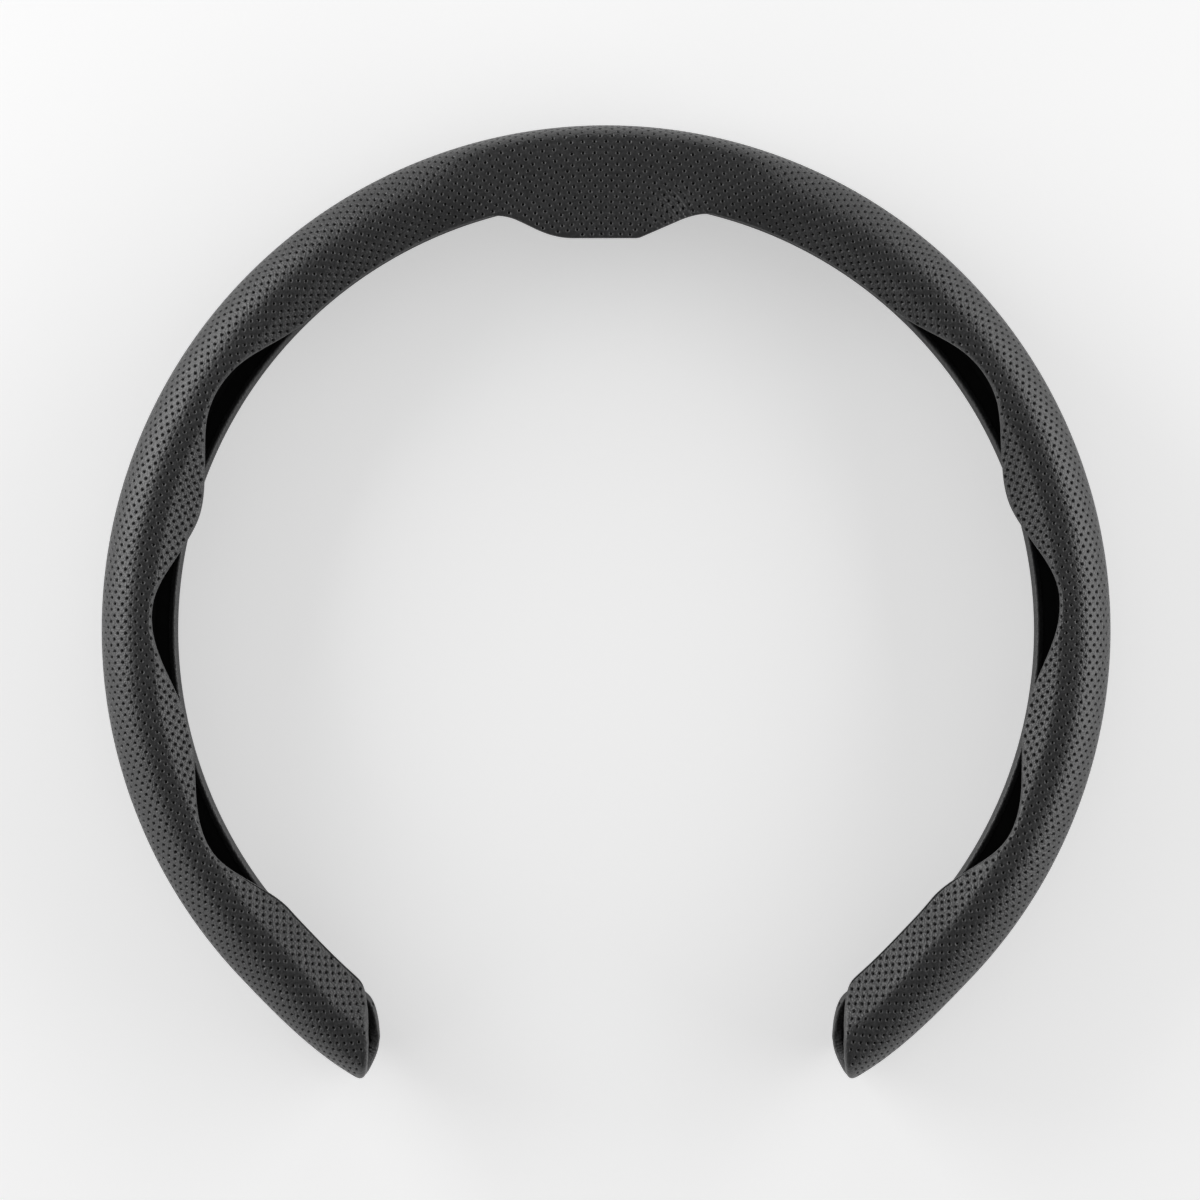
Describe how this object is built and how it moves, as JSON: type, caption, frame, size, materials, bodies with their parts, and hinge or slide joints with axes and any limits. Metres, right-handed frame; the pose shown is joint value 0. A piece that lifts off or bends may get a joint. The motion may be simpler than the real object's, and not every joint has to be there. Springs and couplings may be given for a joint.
{
  "type": "steering wheel cover",
  "caption": "Springy C-section cover that wraps a steering wheel rim, open at the bottom, perforated black leather over a thin lining, finger hollows and a flat top tab.",
  "frame": {"origin": "under the middle of the cover's outline, on the plane of its rear crest, which it lies on", "axes": "+Z towards the driver's side of the ring, +Y towards the top of the wheel, +X to the driver's right"},
  "size_m": [0.3858, 0.3644, 0.035],
  "materials": {
    "perforated_leather": "dark grey-black leather, fine grain, small round perforations in staggered rows",
    "black_lining": "matt black, smooth"
  },
  "bodies": {
    "root": {"leather_cover": "perforated_leather", "inner_lining": "black_lining"}
  },
  "joints": []
}
